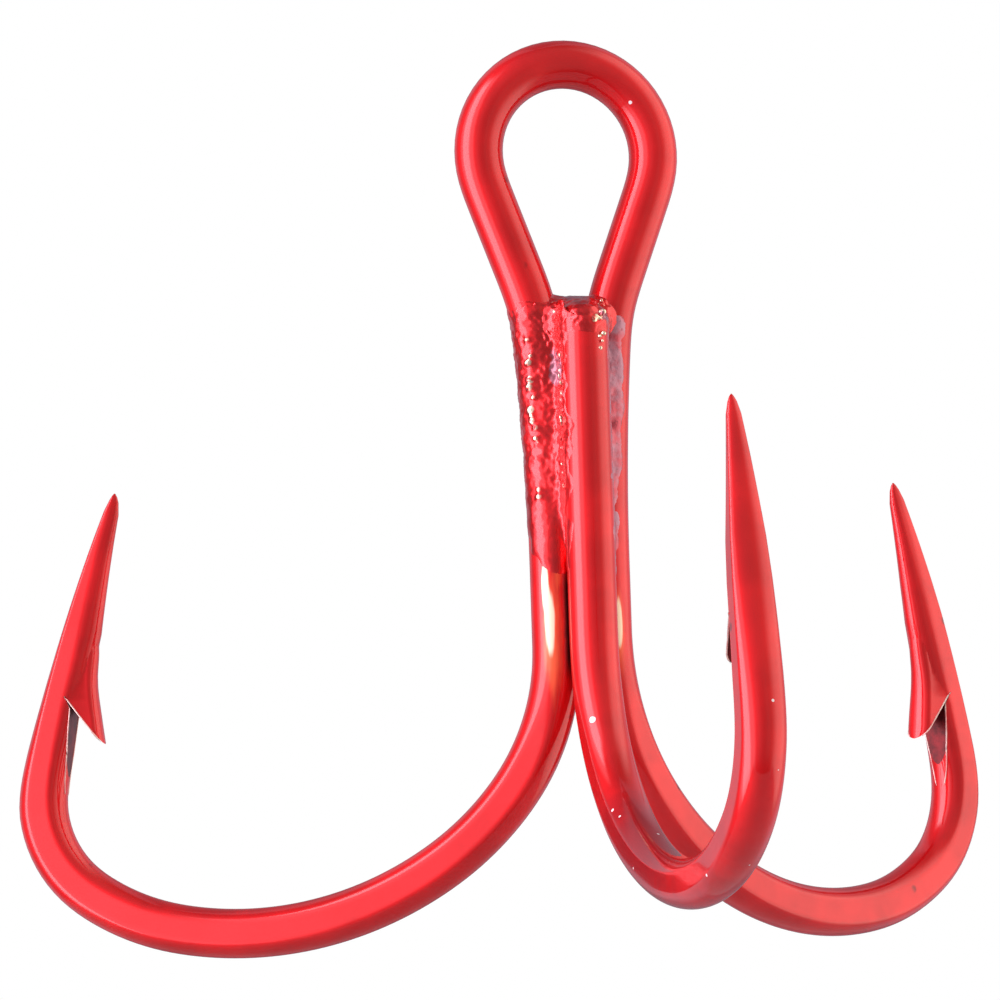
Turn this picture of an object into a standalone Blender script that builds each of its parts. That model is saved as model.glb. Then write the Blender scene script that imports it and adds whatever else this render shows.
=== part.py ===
"""Treble fishing hook: a double hook and a single hook brazed together along one shank.

One wire makes the double hook: its middle is bent into the teardrop eye, both ends run
down as shank wires, bend round and end in a barbed spear. A second wire makes the single
hook, which lies in the front valley between the two shank wires. Braze fills the valleys
and the throat of the eye.

Metres, +Z up the shank. The origin is the centre of the eye. The eye lies in the plane
Y = 0 and the single hook points to -Y in the plane X = 0.
"""

import math

import bmesh
import bpy
from mathutils import Vector

MM = 0.001

# Wire stock and the forged section of the bends
WIRE_RADIUS = 1.10 * MM
FORGED_HALF_WIDTH = 1.16 * MM    # in the plane of the bend
FORGED_HALF_THICK = 1.00 * MM    # across it, flat to flat
FORGING_RUN = 6.0 * MM           # length over which round turns to forged

# Eye and shank of the double hook, in the plane Y = 0
EYE_RADIUS = 4.12 * MM           # of the wire's centre line
EYE_PAST_SIDE = 20.6             # degrees the round part runs on below its widest level
EYE_STRAIGHT = 4.80 * MM
THROAT_RADIUS = 8.54 * MM
SHANK_LEAN = 4.9                 # degrees left when the throat ends, spent over the shank
SHANK_RADIUS = 120.0 * MM

# Bends of every leg, from the shank to the point: radius of the centre line, degrees
BEND_TOP = -22.18 * MM
BENDS = (
    (10.6 * MM, 38.3),
    (13.7 * MM, 18.5),
    (16.7 * MM, 44.7),
    (10.8 * MM, 24.2),
    (5.2 * MM, 64.5),
    (68.5 * MM, 11.4),
)
TIGHT_BEND = 4

# How each leg sits, as brazed: degrees round the shank from -Y, lean outward, height
# added to the bend, and degrees taken off the tight bend
SINGLE_SET = (0.0, -0.5, 0.22 * MM, 5.3)
LEFT_SET = (-118.9, -0.4, -0.31 * MM, 0.0)
RIGHT_SET = (121.7, 0.8, 0.25 * MM, 0.0)

# Single hook's shank
SINGLE_FORWARD = 1.88 * MM
SINGLE_TOP = -7.4 * MM

# Spear: distance from the point, then how far it reaches outside and inside the centre line
SPEAR = (
    (0.0 * MM, 0.03 * MM, 0.03 * MM),
    (0.3 * MM, 0.13 * MM, 0.27 * MM),
    (0.9 * MM, 0.24 * MM, 0.50 * MM),
    (8.4 * MM, 0.72 * MM, 1.44 * MM),
    (9.1 * MM, 0.80 * MM, 1.00 * MM),
    (9.6 * MM, 0.83 * MM, 0.60 * MM),
    (10.1 * MM, 0.88 * MM, 0.84 * MM),
    (11.6 * MM, 1.00 * MM, 1.00 * MM),
    (15.0 * MM, FORGED_HALF_WIDTH, FORGED_HALF_WIDTH),
)

# Barb: distance from the point, under side and top side from the centre line, half width
BARB = (
    (6.6 * MM, 0.30 * MM, 1.10 * MM, 0.60 * MM),
    (8.3 * MM, 0.40 * MM, 1.50 * MM, 0.86 * MM),
    (9.2 * MM, 0.45 * MM, 1.82 * MM, 0.92 * MM),
    (9.7 * MM, 0.72 * MM, 1.98 * MM, 0.90 * MM),
    (10.5 * MM, 1.60 * MM, 2.26 * MM, 0.74 * MM),
    (11.2 * MM, 2.32 * MM, 2.52 * MM, 0.48 * MM),
    (11.45 * MM, 2.56 * MM, 2.62 * MM, 0.26 * MM),
)

# Braze
GAP = 0.04 * MM                  # kept between the braze and the wires
SEAM_TOP = -7.9 * MM

RED = (0.62, 0.02, 0.035, 1.0)
BRAZE_RED = (0.50, 0.06, 0.07, 1.0)

# Directions of the points round a section: seven on each rounded side, one on each flat
RING = [math.radians(a) for a in list(range(-60, 61, 20)) + [90] + list(range(120, 241, 20)) + [270]]


def clear_scene():
    for item in list(bpy.data.objects):
        bpy.data.objects.remove(item, do_unlink=True)
    for group in list(bpy.data.collections):
        bpy.data.collections.remove(group)


def collection(name):
    group = bpy.data.collections.new(name)
    bpy.context.scene.collection.children.link(group)
    return group


def material(name, colour, roughness, metallic):
    made = bpy.data.materials.new(name)
    made.use_nodes = True
    shader = made.node_tree.nodes["Principled BSDF"]
    shader.inputs["Base Color"].default_value = colour
    shader.inputs["Roughness"].default_value = roughness
    shader.inputs["Metallic"].default_value = metallic
    made.diffuse_color = colour
    return made


def smoothstep(t):
    t = min(max(t, 0.0), 1.0)
    return t * t * (3.0 - 2.0 * t)


def between(table, s):
    """The row of a table at distance s, its first column, with straight lines between rows."""
    if s <= table[0][0]:
        return table[0][1:]
    for low, high in zip(table, table[1:]):
        if s <= high[0]:
            t = (s - low[0]) / (high[0] - low[0])
            return tuple(a + (b - a) * t for a, b in zip(low[1:], high[1:]))
    return table[-1][1:]


def chain(u, z, lean, bends, step, longest):
    """Stations (length, u, z, lean) along arcs and straights, given as (length, turn).

    The lean is measured from straight down towards +u. A positive turn bends outward.
    """
    stations = [(0.0, u, z, lean)]
    run = 0.0
    for length, turn in bends:
        count = max(1, math.ceil(abs(turn) / step), math.ceil(length / longest))
        for i in range(1, count + 1):
            t = i / count
            if abs(turn) < 1e-9:
                place = (u + length * t * math.sin(lean), z - length * t * math.cos(lean))
            else:
                radius = length / turn
                angle = lean + turn * t
                place = (
                    u + radius * (math.cos(lean) - math.cos(angle)),
                    z - radius * (math.sin(angle) - math.sin(lean)),
                )
            stations.append((run + length * t, place[0], place[1], lean + turn * t))
        run, u, z, lean = stations[-1]
    return stations


def eye_and_shank():
    """Half of the double hook's middle, from the top of the eye to the top of the bend."""
    side = math.radians(EYE_PAST_SIDE)
    rest = math.radians(SHANK_LEAN)
    arcs = [
        (EYE_RADIUS * (math.pi / 2 + side), -(math.pi / 2 + side)),
        (EYE_STRAIGHT, 0.0),
        (THROAT_RADIUS * (side - rest), side - rest),
        (SHANK_RADIUS * rest, rest),
    ]
    return chain(0.0, EYE_RADIUS, math.pi / 2, arcs, math.radians(11), 2.6 * MM)


def leg(setting, longest=1.4 * MM, step=7.0):
    """Stations of one leg, from the top of its bend to its point."""
    _, lean, _, slack = setting
    arcs = []
    for i, (radius, degrees) in enumerate(BENDS):
        turn = math.radians(degrees - (slack if i == TIGHT_BEND else 0.0))
        arcs.append((radius * turn, turn))
    arcs[0] = (arcs[0][0], arcs[0][1] - math.radians(lean))
    return chain(0.0, BEND_TOP + setting[2], math.radians(lean), arcs, math.radians(step), longest)


def axes_at(azimuth, lean):
    """Towards the gape, and across the plane of the bend, for a wire at this lean."""
    out = Vector((math.sin(azimuth), -math.cos(azimuth), 0.0))
    gape = out * math.cos(lean) + Vector((0.0, 0.0, math.sin(lean)))
    across = Vector((out.y, -out.x, 0.0))
    return out, gape, across


def section(centre, gape, across, outside, inside, half_thick):
    """A round wire's ring, with flats where it is thicker than it may be."""
    half = (outside + inside) / 2
    middle = centre + gape * ((inside - outside) / 2)
    ring = []
    for angle in RING:
        lift = min(max(half * math.sin(angle), -half_thick), half_thick)
        ring.append(middle + gape * (half * math.cos(angle)) + across * lift)
    return ring


def leg_rings(base, setting, mirrored=False):
    """Rings from the top of the bend to the point, round at first, then forged, then a spear."""
    azimuth = math.radians(setting[0])
    stations = leg(setting)
    total = stations[-1][0]
    marks = [row[0] for row in SPEAR[:-1]]
    fixed = [s for s in stations if total - s[0] > SPEAR[-1][0] - 0.5 * MM]
    ends = [station_at(stations, total - mark) for mark in reversed(marks)]
    extra = [station_at(stations, total - d * MM) for d in (13.4, 7.2, 5.9, 4.6, 3.3, 2.0)]
    rings = []
    for run, u, z, lean in sorted(fixed + ends + extra):
        out, gape, across = axes_at(azimuth, lean)
        if mirrored:
            across = -across
        forged = smoothstep(run / FORGING_RUN)
        width = WIRE_RADIUS + (FORGED_HALF_WIDTH - WIRE_RADIUS) * forged
        thick = WIRE_RADIUS + (FORGED_HALF_THICK - WIRE_RADIUS) * forged
        outside = inside = width
        if total - run < SPEAR[-1][0]:
            outside, inside = between(SPEAR, total - run)
            half = (outside + inside) / 2
            thick = min(thick, half * FORGED_HALF_THICK / FORGED_HALF_WIDTH + 0.04 * MM)
        rings.append(section(base + out * u + Vector((0, 0, z)), gape, across, outside, inside, thick))
    return rings


def station_at(stations, run):
    """The station at a distance along the wire, between the computed ones."""
    for low, high in zip(stations, stations[1:]):
        if run <= high[0]:
            t = (run - low[0]) / (high[0] - low[0])
            return tuple(a + (b - a) * t for a, b in zip(low, high))
    return stations[-1]


def barb_rings(base, setting):
    azimuth = math.radians(setting[0])
    stations = leg(setting)
    total = stations[-1][0]
    rings = []
    for distance, under, top, half_width in BARB:
        _, u, z, lean = station_at(stations, total - distance)
        out, gape, across = axes_at(azimuth, lean)
        centre = base + out * u + Vector((0, 0, z)) + gape * ((under + top) / 2)
        half = (top - under) / 2
        rings.append([
            centre + gape * (half * math.cos(a)) + across * (half_width * math.sin(a))
            for a in (math.radians(22.5 + 45 * i) for i in range(8))
        ])
    return rings


def loft(name, rings, group, skin=None):
    """A closed solid through rings of the same number of points."""
    mesh = bmesh.new()
    rows = [[mesh.verts.new(point) for point in ring] for ring in rings]
    count = len(rows[0])
    for low, high in zip(rows, rows[1:]):
        for i in range(count):
            j = (i + 1) % count
            mesh.faces.new((low[i], low[j], high[j], high[i]))
    mesh.faces.new(rows[0])
    mesh.faces.new(list(reversed(rows[-1])))
    bmesh.ops.triangulate(mesh, faces=[f for f in mesh.faces if len(f.verts) > 4])
    bmesh.ops.recalc_face_normals(mesh, faces=mesh.faces)
    data = bpy.data.meshes.new(name)
    mesh.to_mesh(data)
    mesh.free()
    data.shade_smooth()
    data.set_sharp_from_angle(angle=math.radians(40))
    made = bpy.data.objects.new(name, data)
    group.objects.link(made)
    if skin:
        data.materials.append(skin)
    return made


def as_cutter(item):
    item.hide_render = True
    item.display_type = "WIRE"
    return item


def boolean(item, other, operation):
    change = item.modifiers.new(operation.title() + " " + other.name, "BOOLEAN")
    change.operation = operation
    change.solver = "EXACT"
    change.object = other


def shank_half_gap(z):
    """How far each shank wire of the double hook stands from the plane X = 0 at a height."""
    below_eye = [s for s in eye_and_shank() if s[2] < -EYE_RADIUS / 2 and s[0] > 2 * EYE_RADIUS]
    if z <= below_eye[-1][2]:
        return below_eye[-1][1]
    for high, low in zip(below_eye, below_eye[1:]):
        if z >= low[2]:
            t = (high[2] - z) / (high[2] - low[2])
            return high[1] + (low[1] - high[1]) * t
    return below_eye[-1][1]


def double_hook_rings(grow=0.0):
    """Rings from the left point, up the shank, round the eye and down to the right point."""
    halves = []
    for side, setting in ((-1, LEFT_SET), (1, RIGHT_SET)):
        rings = []
        stations = eye_and_shank()
        foot = stations[-1]
        down = foot[2] - (BEND_TOP + setting[2])
        steps = 2
        stations += [(0, foot[1], foot[2] - down * i / steps, 0.0) for i in range(1, steps + 1)]
        turn_from, turn_to = -9.5 * MM, BEND_TOP
        for _, u, z, lean in stations:
            turned = smoothstep((turn_from - z) / (turn_from - turn_to))
            azimuth = side * math.radians(90 + (abs(setting[0]) - 90) * turned)
            _, gape, across = axes_at(azimuth, lean)
            if side < 0:
                across = -across
            radius = WIRE_RADIUS + grow
            rings.append(section(Vector((side * u, 0, z)), gape, across, radius, radius, radius))
        base = Vector((side * foot[1], 0, 0))
        rings += leg_rings(base, setting, mirrored=side < 0)[1:]
        halves.append(rings)
    left, right = halves
    return list(reversed(left)) + right[1:]


def single_hook_rings():
    base = Vector((0, -SINGLE_FORWARD, 0))
    top, low = SINGLE_TOP, BEND_TOP + SINGLE_SET[2]
    rings = []
    for z, share in ((top, 0.55), (top - 0.25 * MM, 0.88), (top - 0.7 * MM, 1.0)):
        _, gape, across = axes_at(0.0, 0.0)
        radius = WIRE_RADIUS * share
        rings.append(section(base + Vector((0, 0, z)), gape, across, radius, radius, radius))
    for i in range(1, 5):
        z = top - 0.7 * MM + (low - top + 0.7 * MM) * i / 5
        rings.append(section(base + Vector((0, 0, z)), gape, across, WIRE_RADIUS, WIRE_RADIUS, WIRE_RADIUS))
    return rings + leg_rings(base, SINGLE_SET)


def build_hooks(group, cutters, skin):
    double = loft("double_hook", double_hook_rings(), group, skin)
    single = loft("single_hook", single_hook_rings(), group, skin)
    foot = shank_half_gap(-1.0)
    for item, base, setting, name in (
        (double, Vector((-foot, 0, 0)), LEFT_SET, "left_barb"),
        (double, Vector((foot, 0, 0)), RIGHT_SET, "right_barb"),
        (single, Vector((0, -SINGLE_FORWARD, 0)), SINGLE_SET, "single_barb"),
    ):
        barb = as_cutter(loft(name, barb_rings(base, setting), cutters))
        boolean(item, barb, "UNION")
    return double, single


def wire_cutters(cutters):
    """Slightly thicker copies of the shank wires, which the braze is cut to fit."""
    radius = WIRE_RADIUS + GAP
    made = []
    for side, name in ((-1, "left_shank_room"), (1, "right_shank_room")):
        rings = []
        stations = [s for s in eye_and_shank() if s[0] > 1.6 * EYE_RADIUS]
        foot = stations[-1]
        stations = stations + [(0, foot[1], BEND_TOP, 0.0)]
        for _, u, z, lean in stations:
            _, gape, across = axes_at(side * math.pi / 2, lean)
            rings.append(section(Vector((side * u, 0, z)), gape, across, radius, radius, radius))
        made.append(as_cutter(loft(name, rings, cutters)))
    rings = []
    for z in (SINGLE_TOP + GAP, BEND_TOP):
        _, gape, across = axes_at(0.0, 0.0)
        centre = Vector((0, -SINGLE_FORWARD, z))
        rings.append(section(centre, gape, across, radius, radius, radius))
    made.append(as_cutter(loft("single_shank_room", rings, cutters)))
    return made


def seam(name, group, skin, cutters, side, bottom, over, heights):
    """Braze in the valley between the single wire and one wire of the double hook.

    Its outline, in the plane across the shank, starts deep in the valley, runs out over the
    double hook's wire by the given amount and comes back to the single wire.
    """
    rings = []
    for z, fullness in heights:
        outer = Vector((side * shank_half_gap(z), 0.0))
        front = Vector((0.0, -SINGLE_FORWARD))
        along = (front - outer).normalized()
        away = Vector((side * -along.y * side, along.x))
        if away.x * side < 0:
            away = -away
        middle = (outer + front) / 2
        reach = WIRE_RADIUS * over
        outline = (
            (0.0, 0.10 * MM),
            (0.55 * MM * fullness, (0.78 + 0.10 * fullness) * MM),
            (0.10 * MM, (0.62 + 0.24 * fullness) * MM),
            (-0.62 * MM * fullness, (0.86 + 0.22 * fullness) * MM),
            (-0.62 * MM * fullness - reach * 0.5, (1.00 + 0.22 * fullness) * MM),
            (-0.62 * MM * fullness - reach * fullness, (0.80 + 0.12 * fullness) * MM),
        )
        points = [middle + along * t + away * n for t, n in outline]
        rings.append([Vector((p.x, p.y, z)) for p in points])
    made = loft(name, rings, group, skin)
    for cutter in cutters:
        boolean(made, cutter, "DIFFERENCE")
    return made


def build_braze(group, cutter_group, skin):
    rooms = wire_cutters(cutter_group)
    left_heights = ((-7.9 * MM, 0.9), (-9.5 * MM, 1.0), (-12.0 * MM, 1.0), (-15.0 * MM, 0.9),
                    (-18.0 * MM, 0.7), (-20.6 * MM, 0.25))
    right_heights = ((-7.9 * MM, 0.9), (-10.0 * MM, 0.9), (-14.0 * MM, 0.8), (-18.0 * MM, 0.7),
                     (-20.8 * MM, 0.25))
    seam("braze_left", group, skin, rooms, -1, -20.6 * MM, 1.1, left_heights)
    seam("braze_right", group, skin, rooms, 1, -20.8 * MM, 0.15, right_heights)

    rings = []
    for z, deep, back in ((-7.9, 0.9, 0.75), (-10.0, 0.9, 0.80), (-13.0, 0.55, 0.78),
                          (-16.5, 0.2, 0.72), (-20.5, 0.0, 0.45)):
        half = shank_half_gap(z * MM)
        room = max(half - WIRE_RADIUS, 0.0)
        rings.append([
            Vector((-room * 0.6, -deep * 0.6 * MM, z * MM)),
            Vector((room * 0.6, -deep * 0.6 * MM, z * MM)),
            Vector((half * 0.72, back * MM, z * MM)),
            Vector((half * 0.30, (back - 0.10) * MM, z * MM)),
            Vector((-half * 0.30, (back - 0.10) * MM, z * MM)),
            Vector((-half * 0.72, back * MM, z * MM)),
        ])
    rear = loft("braze_rear", rings, group, skin)
    for cutter in rooms:
        boolean(rear, cutter, "DIFFERENCE")

    rings = []
    for z, front, back, half in ((-7.82, -2.9, 0.95, 1.7), (-7.5, -3.0, 1.0, 1.8),
                                 (-6.95, -2.2, 0.85, 1.6), (-6.6, -0.8, 0.55, 1.5)):
        middle = (front + back) / 2
        long = (back - front) / 2
        rings.append([
            Vector((half * MM * math.cos(a), (middle + long * math.sin(a)) * MM, z * MM))
            for a in (math.radians(30 * i) for i in range(12))
        ])
    saddle = loft("braze_saddle", rings, group, skin)
    for cutter in rooms:
        boolean(saddle, cutter, "DIFFERENCE")


def build():
    clear_scene()
    parts = collection("treble_hook")
    cutters = collection("cutters")
    lacquer = material("red_lacquered_wire", RED, 0.18, 0.9)
    braze = material("red_lacquered_braze", BRAZE_RED, 0.45, 0.6)
    build_hooks(parts, cutters, lacquer)
    build_braze(parts, cutters, braze)


build()
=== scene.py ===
import math
import random

import bmesh
import bpy
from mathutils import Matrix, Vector, noise


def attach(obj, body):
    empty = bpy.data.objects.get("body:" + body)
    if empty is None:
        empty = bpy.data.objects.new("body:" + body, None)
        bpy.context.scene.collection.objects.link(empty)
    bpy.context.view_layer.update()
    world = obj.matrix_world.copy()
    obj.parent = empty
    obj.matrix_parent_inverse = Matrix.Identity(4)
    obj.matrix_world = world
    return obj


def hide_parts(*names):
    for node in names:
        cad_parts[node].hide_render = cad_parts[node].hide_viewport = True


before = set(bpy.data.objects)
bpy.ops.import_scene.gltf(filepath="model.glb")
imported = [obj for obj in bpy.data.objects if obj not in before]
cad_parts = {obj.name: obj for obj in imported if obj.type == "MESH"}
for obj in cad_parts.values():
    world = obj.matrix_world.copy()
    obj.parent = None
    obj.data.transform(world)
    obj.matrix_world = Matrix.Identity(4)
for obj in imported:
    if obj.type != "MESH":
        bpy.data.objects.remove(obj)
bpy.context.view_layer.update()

MM = 0.001


def in_mm(*rows):
    """A table whose rows are given in millimetres."""
    return tuple(tuple(v * MM for v in row) for row in rows)


# Wire, forged bends and spears, as the solids have them
WIRE_RADIUS = 1.10 * MM
FORGED_HALF_WIDTH = 1.125 * MM
FORGED_HALF_THICK = 0.99 * MM
FORGING_RUN = 6.0 * MM
RIM = 0.07 * MM  # softness of the corner between a flat and a round side

EYE_RADIUS = 4.12 * MM
EYE_PAST_SIDE = math.radians(20.6)
EYE_STRAIGHT = 4.89 * MM
THROAT_RADIUS = 8.54 * MM
SHANK_LEAN = math.radians(4.9)
SHANK_RADIUS = 120.0 * MM

BEND_TOP = -22.18 * MM
BENDS = (
    (10.6 * MM, 38.3),
    (13.7 * MM, 18.5),
    (16.7 * MM, 44.7),
    (10.8 * MM, 24.2),
    (5.2 * MM, 64.5),
    (68.5 * MM, 11.4),
)
TIGHT_BEND = 4
SINGLE_FORWARD = 1.88 * MM
SINGLE_TOP = -7.4 * MM
WIRE_SIDES = 64
SHANK_STEPS, SINGLE_STEPS = 8, 36  # stations down the straight parts of the shank wires
LONGEST_STEP = 0.4 * MM  # between stations along a wire
BLEND = 0.8 * MM  # how far each side of a joint between two arcs the curve eases
BLEND_STEPS = 4
SPEAR_SPREAD = 0.32  # how fast a spear widens from its inner edge
SPEAR_THICKNESS = (0.86, 0.03 * MM)  # half thickness of a spear: a share of its half width, and more
TIP_STATIONS = (0.05 * MM, 0.2 * MM, 0.5 * MM, 0.7 * MM)
TURN_TOP = -9.5 * MM  # where the shank wires' sections start to turn towards their bends

# The single wire's end: depth below its top and share of the wire's radius
DOME = ((0.0, 0.20), (0.08 * MM, 0.50), (0.25 * MM, 0.76), (0.5 * MM, 0.92), (0.8 * MM, 1.0))


class Setting:
    """How a leg sits: its foot, degrees round the shank, lean, height, slack in the tight bend,
    and how much further than usual its barb is from the point."""

    def __init__(self, foot, azimuth, lean, height, slack, barb):
        self.foot = foot
        self.azimuth = math.radians(azimuth)
        self.lean = math.radians(lean)
        self.height = height
        self.slack = slack
        self.barb = barb


# Spear: distance from the point, reach outside and inside the centre line, half width across,
# and half width of the ground inner edge
SPEAR = in_mm(
    (0.0, 0.03, 0.03, 0.03, 0.03),
    (0.12, 0.08, 0.16, 0.12, 0.07),
    (0.35, 0.13, 0.31, 0.22, 0.12),
    (0.9, 0.20, 0.50, 0.35, 0.20),
    (2.9, 0.28, 0.80, 0.56, 0.33),
    (4.8, 0.36, 1.08, 0.74, 0.45),
    (6.4, 0.44, 1.30, 0.89, 0.56),
    (8.3, 0.56, 1.36, 1.00, 0.78),
    (10.1, 0.71, 1.24, 1.06, 1.00),
    (12.4, 0.93, 1.16, 1.11, 1.20),
) + (
    (15.0 * MM, FORGED_HALF_WIDTH, FORGED_HALF_WIDTH, FORGED_HALF_WIDTH, 1.20 * MM),
)

# Barb: distance from the point, reach of the top, half width below the rounded crown
BARB = in_mm(
    (5.3, 0.90, 0.30),
    (6.4, 1.18, 0.44),
    (7.4, 1.43, 0.51),
    (8.3, 1.57, 0.57),
    (8.8, 1.69, 0.60),
    (9.2, 1.81, 0.62),
    (10.1, 2.13, 0.66),
    (11.0, 2.44, 0.68),
    (11.36, 2.57, 0.62),
    (11.45, 2.60, 0.42),
)
BARB_STEPS, CROWN_STEPS = 24, 8
BARB_CROWN = 0.40 * MM
BARB_SPREAD = 0.25
BARB_BASE = 0.35 * MM
BARB_TIP = (11.36 * MM, 2.48 * MM)
BARB_ROOT, BARB_ROOT_RUN = 5.0 * MM, 3.5 * MM  # where a barb that sits further back starts to shift
CUTTER_HALF_WIDTH = 2.0 * MM
CUTTER_SPARE = 0.08 * MM  # how far a raised barb reaches into its cut before it is cut

# Knife cut behind the barb: distance from the point and reach into the gape
NOTCH = in_mm(
    (9.60, 0.52),
    (11.90, 3.10),
    (15.50, 3.10),
    (14.90, 1.16),
    (12.20, 1.02),
    (10.10, 0.85),
)
SCOOP_END = (14.2 * MM, 1.11 * MM)
SHARP_EDGE = math.radians(40)
BURR_RADIUS = 0.036 * MM
BURR_SUNK = 0.012 * MM
BURR_END = 0.25  # share of a thread's radius that its ends keep
BURR_SIDES = 8
BURR_STEPS = 12


# ---------------- node trees


class Term:
    """An output socket that takes part in arithmetic."""

    def __init__(self, graph, socket):
        self.graph = graph
        self.socket = socket

    def arrow(self):
        return self.socket.type == "VECTOR"

    def _with(self, operation, first, second):
        graph = self.graph
        if any(isinstance(item, Term) and item.arrow() for item in (first, second)):
            return graph.vector(operation, {0: first, 1: second})
        return graph.make("ShaderNodeMath", {"operation": operation}, {0: first, 1: second})

    def __add__(self, other):
        return self._with("ADD", self, other)

    def __radd__(self, other):
        return self._with("ADD", other, self)

    def __sub__(self, other):
        return self._with("SUBTRACT", self, other)

    def __rsub__(self, other):
        return self._with("SUBTRACT", other, self)

    def __mul__(self, other):
        if self.arrow() and not (isinstance(other, Term) and other.arrow()):
            return self.graph.vector("SCALE", {0: self, "Scale": other})
        return self._with("MULTIPLY", self, other)

    def __rmul__(self, other):
        return self * other

    def __truediv__(self, other):
        return self._with("DIVIDE", self, other)

    def __pow__(self, other):
        return self._with("POWER", self, other)

    def of(self, operation, *others):
        """A Math node of another kind, such as SINE or SMOOTH_MIN."""
        values = dict(enumerate((self,) + others))
        return self.graph.make("ShaderNodeMath", {"operation": operation}, values)

    def dot(self, other):
        return self.graph.vector("DOT_PRODUCT", {0: self, 1: other}, "Value")

    def step(self, low, high):
        """0 at low, 1 at high and an even curve between."""
        values = {"Value": self, "From Min": low, "From Max": high}
        return self.graph.make("ShaderNodeMapRange", {"interpolation_type": "SMOOTHSTEP"}, values)


class Graph:
    """A node tree, and the one way a node gets into it."""

    def __init__(self, tree):
        self.tree = tree

    def make(self, kind, settings=None, values=None, output=0):
        node = self.tree.nodes.new(kind)
        for name, value in (settings or {}).items():
            setattr(node, name, value)
        for key, value in (values or {}).items():
            self.put(node.inputs[key], value)
        return Term(self, node.outputs[output])

    def put(self, socket, value):
        if isinstance(value, Term):
            self.tree.links.new(value.socket, socket)
        elif value is not None:
            socket.default_value = value

    def mix(self, factor, low, high):
        """Between two colours."""
        return self.make("ShaderNodeMix", {"data_type": "RGBA"}, {0: factor, 6: low, 7: high}, 2)

    def noise(self, where, scale, detail=3.0, roughness=0.5, distortion=0.0):
        values = {
            "Vector": where, "Scale": scale, "Detail": detail,
            "Roughness": roughness, "Distortion": distortion,
        }
        return self.make("ShaderNodeTexNoise", {}, values)

    def vector(self, operation, values, output=0):
        return self.make("ShaderNodeVectorMath", {"operation": operation}, values, output)

    def length(self, arrow):
        return self.vector("LENGTH", {0: arrow}, "Value")

    def distance_in(self, place, centre, reach):
        """Distance from a centre in units of an egg's three reaches."""
        values = {0: place - tuple(centre), 1: tuple(1 / v for v in reach)}
        return self.length(self.vector("MULTIPLY", values))

    def split(self, arrow):
        return [self.make("ShaderNodeSeparateXYZ", {}, {0: arrow}, i) for i in range(3)]


def new_tree(name, inputs, result):
    """An empty geometry tree, and its inputs as terms in their order."""
    tree = bpy.data.node_groups.new(name, "GeometryNodeTree")
    for label, kind in inputs:
        tree.interface.new_socket(label, in_out="INPUT", socket_type="NodeSocket" + kind)
    tree.interface.new_socket(result, in_out="OUTPUT", socket_type="NodeSocketGeometry")
    graph = Graph(tree)
    entry = tree.nodes.new("NodeGroupInput")
    return graph, [Term(graph, entry.outputs[i]) for i in range(len(inputs))]


def close_tree(graph, shape, finish):
    """Ends a geometry tree with a smooth, plain shape in its finish."""
    smooth = graph.make("GeometryNodeSetShadeSmooth", {}, {"Geometry": shape})
    whole = graph.make("GeometryNodeRealizeInstances", {}, {"Geometry": smooth})
    done = graph.make("GeometryNodeSetMaterial", {}, {"Geometry": whole, "Material": finish})
    leave = graph.tree.nodes.new("NodeGroupOutput")
    graph.put(leave.inputs[0], done)
    return graph.tree


def store(graph, shape, name, value):
    settings = {"data_type": "FLOAT", "domain": "POINT"}
    values = {"Geometry": shape, "Name": name, "Value": value}
    return graph.make("GeometryNodeStoreNamedAttribute", settings, values)


# ---------------- wire paths


def smoothstep(t):
    t = min(max(t, 0.0), 1.0)
    return t * t * (3.0 - 2.0 * t)


def between(table, s):
    """The row of a table at distance s, with straight lines between rows."""
    if s <= table[0][0]:
        return table[0][1:]
    for low, high in zip(table, table[1:]):
        if s <= high[0]:
            t = (s - low[0]) / (high[0] - low[0])
            return tuple(a + (b - a) * t for a, b in zip(low[1:], high[1:]))
    return table[-1][1:]


def soft_least(a, b, k):
    """The smaller of two distances, rounded where they meet."""
    h = max(k - abs(a - b), 0.0) / k
    return min(a, b) - h * h * k * 0.25


def chain(u, z, lean, bends, longest, before=0.0):
    """Stations (run, u, z, lean) along arcs given as (length, turn), eased where they join.

    before is the curvature that leads into the first arc.
    """
    marks = [(0.0, lean)]
    for length, turn in bends:
        marks.append((marks[-1][0] + length, marks[-1][1] + turn))

    def eased(run):
        total = 0.0
        for k in range(-BLEND_STEPS, BLEND_STEPS + 1):
            at = run + BLEND * k / BLEND_STEPS
            total += lean + before * at if at < 0 else between(marks, at)[0]
        return total / (2 * BLEND_STEPS + 1)

    end = marks[-1][0]
    count = math.ceil(end / longest)
    step = end / count
    stations = [(0.0, u, z, eased(0.0))]
    for i in range(count):
        middle = eased((i + 0.5) * step)
        u += step * math.sin(middle)
        z -= step * math.cos(middle)
        stations.append(((i + 1) * step, u, z, eased((i + 1) * step)))
    return stations


def eye_and_shank(longest):
    """Stations from the top of the eye down one side to the foot of the shank's curve."""
    round_part = EYE_RADIUS * (math.pi / 2 + EYE_PAST_SIDE)
    arcs = [
        (round_part, -(math.pi / 2 + EYE_PAST_SIDE)),
        (EYE_STRAIGHT, 0.0),
        (THROAT_RADIUS * (EYE_PAST_SIDE - SHANK_LEAN), EYE_PAST_SIDE - SHANK_LEAN),
        (SHANK_RADIUS * SHANK_LEAN, SHANK_LEAN),
    ]
    return chain(0.0, EYE_RADIUS, math.pi / 2, arcs, longest, -1 / EYE_RADIUS)


SHANK_STATIONS = [s for s in eye_and_shank(0.5 * MM) if s[0] > 1.6 * EYE_RADIUS]
FOOT = SHANK_STATIONS[-1][1]


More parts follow.
